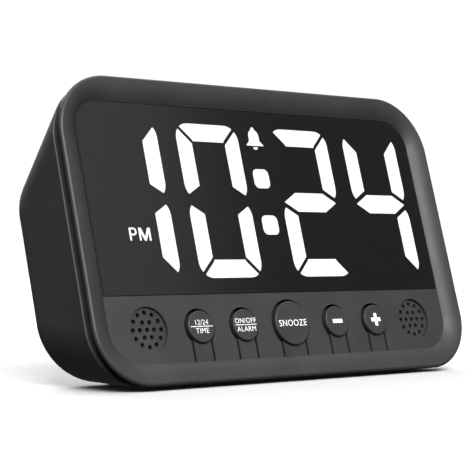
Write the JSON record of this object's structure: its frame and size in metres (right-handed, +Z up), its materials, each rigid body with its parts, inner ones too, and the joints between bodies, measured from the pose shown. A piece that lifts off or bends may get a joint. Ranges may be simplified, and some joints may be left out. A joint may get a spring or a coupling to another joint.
{
  "type": "alarm clock",
  "caption": "Bedside digital alarm clock: leaning rounded housing, smoked display window with large lit digits, a row of round press keys and two sound grilles.",
  "frame": {"origin": "on the desk under the middle of the clock's box, level with the soles of the feet", "axes": "+X to the right across the face, +Y away from the reader, +Z up"},
  "size_m": [0.1492, 0.05, 0.0901],
  "materials": {
    "housing_plastic": "fine spark-eroded satin black ABS",
    "key_plastic": "satin black ABS with printed white legends",
    "smoked_acrylic": "smoked polished acrylic",
    "light_block": "flat black light block",
    "lit_diffuser": "milky diffuser lit from behind, white",
    "dark_diffuser": "smoked diffuser, unlit",
    "circuit_board": "green soldermask over glass-fibre laminate",
    "chip_black": "black moulded epoxy",
    "led_white": "white surface-mount light chips",
    "tinned_steel": "bright tinned steel",
    "nickel_steel": "nickel-plated spring steel",
    "zinc_steel": "black zinc-plated steel screws",
    "can_aluminium": "aluminium can",
    "cell_jacket": "plain grey printed steel jacket with bright ends",
    "switch_plastic": "black nylon",
    "rubber_black": "soft black rubber"
  },
  "bodies": {
    "housing": {"front_cover": "housing_plastic", "rear_cover": "housing_plastic", "display_lens": "smoked_acrylic", "display_block": "light_block", "main_board": "circuit_board", "key_board": "circuit_board", "led_chips": "led_white", "controller_chip": "chip_black", "clock_crystal": "tinned_steel", "power_capacitor": "can_aluminium", "sounder": "chip_black", "contact_plates": "nickel_steel", "contact_springs": "nickel_steel", "power_socket": "tinned_steel", "socket_board": "circuit_board", "cover_screws": "zinc_steel", "colon_lights": "lit_diffuser", "bell_light": "lit_diffuser", "pm_light": "lit_diffuser", "digit_1_lit": "lit_diffuser", "digit_1_dark": "dark_diffuser", "digit_2_lit": "lit_diffuser", "digit_2_dark": "dark_diffuser", "digit_3_lit": "lit_diffuser", "digit_3_dark": "dark_diffuser", "digit_4_lit": "lit_diffuser", "digit_4_dark": "dark_diffuser", "battery_cell_1": "cell_jacket", "battery_cell_2": "cell_jacket", "battery_cell_3": "cell_jacket", "switch_body_time": "switch_plastic", "switch_body_alarm": "switch_plastic", "switch_body_snooze": "switch_plastic", "switch_body_minus": "switch_plastic", "switch_body_plus": "switch_plastic", "foot_front_left": "rubber_black", "foot_back_left": "rubber_black", "foot_front_right": "rubber_black", "foot_back_right": "rubber_black"},
    "key_time": {"key_time": "key_plastic"},
    "stem_time": {"switch_stem_time": "switch_plastic"},
    "key_alarm": {"key_alarm": "key_plastic"},
    "stem_alarm": {"switch_stem_alarm": "switch_plastic"},
    "key_snooze": {"key_snooze": "key_plastic"},
    "stem_snooze": {"switch_stem_snooze": "switch_plastic"},
    "key_minus": {"key_minus": "key_plastic"},
    "stem_minus": {"switch_stem_minus": "switch_plastic"},
    "key_plus": {"key_plus": "key_plastic"},
    "stem_plus": {"switch_stem_plus": "switch_plastic"},
    "battery_door": {"battery_door": "housing_plastic"}
  },
  "joints": [
    {"name": "key_time_press", "type": "hinge", "parent": "housing", "child": "key_time", "pos_m": [-0.0356, -0.02004, 0.00726], "axis": [-1, 0, 0], "range_deg": [0, 3], "stiffness_Nm_per_rad": 0.12},
    {"name": "stem_time_travel", "type": "slide", "parent": "housing", "child": "stem_time", "axis": [0, 0.9603, -0.279], "range_m": [0, 0.0006]},
    {"name": "key_alarm_press", "type": "hinge", "parent": "housing", "child": "key_alarm", "pos_m": [-0.01875, -0.02004, 0.00726], "axis": [-1, 0, 0], "range_deg": [0, 3], "stiffness_Nm_per_rad": 0.12},
    {"name": "stem_alarm_travel", "type": "slide", "parent": "housing", "child": "stem_alarm", "axis": [0, 0.9603, -0.279], "range_m": [0, 0.0006]},
    {"name": "key_snooze_press", "type": "hinge", "parent": "housing", "child": "key_snooze", "pos_m": [0, -0.02004, 0.00726], "axis": [-1, 0, 0], "range_deg": [0, 3], "stiffness_Nm_per_rad": 0.12},
    {"name": "stem_snooze_travel", "type": "slide", "parent": "housing", "child": "stem_snooze", "axis": [0, 0.9603, -0.279], "range_m": [0, 0.0006]},
    {"name": "key_minus_press", "type": "hinge", "parent": "housing", "child": "key_minus", "pos_m": [0.01875, -0.02004, 0.00726], "axis": [-1, 0, 0], "range_deg": [0, 3], "stiffness_Nm_per_rad": 0.12},
    {"name": "stem_minus_travel", "type": "slide", "parent": "housing", "child": "stem_minus", "axis": [0, 0.9603, -0.279], "range_m": [0, 0.0006]},
    {"name": "key_plus_press", "type": "hinge", "parent": "housing", "child": "key_plus", "pos_m": [0.0356, -0.02004, 0.00726], "axis": [-1, 0, 0], "range_deg": [0, 3], "stiffness_Nm_per_rad": 0.12},
    {"name": "stem_plus_travel", "type": "slide", "parent": "housing", "child": "stem_plus", "axis": [0, 0.9603, -0.279], "range_m": [0, 0.0006]},
    {"name": "battery_door_hinge", "type": "hinge", "parent": "housing", "child": "battery_door", "pos_m": [0, 0.01082, 0.01381], "axis": [-1, 0, 0], "range_deg": [0, 90]}
  ],
  "couplings": [
    {"joint": "stem_time_travel", "follows": "key_time_press", "m_per_rad": 0.01},
    {"joint": "stem_alarm_travel", "follows": "key_alarm_press", "m_per_rad": 0.01},
    {"joint": "stem_snooze_travel", "follows": "key_snooze_press", "m_per_rad": 0.01},
    {"joint": "stem_minus_travel", "follows": "key_minus_press", "m_per_rad": 0.01},
    {"joint": "stem_plus_travel", "follows": "key_plus_press", "m_per_rad": 0.01}
  ]
}
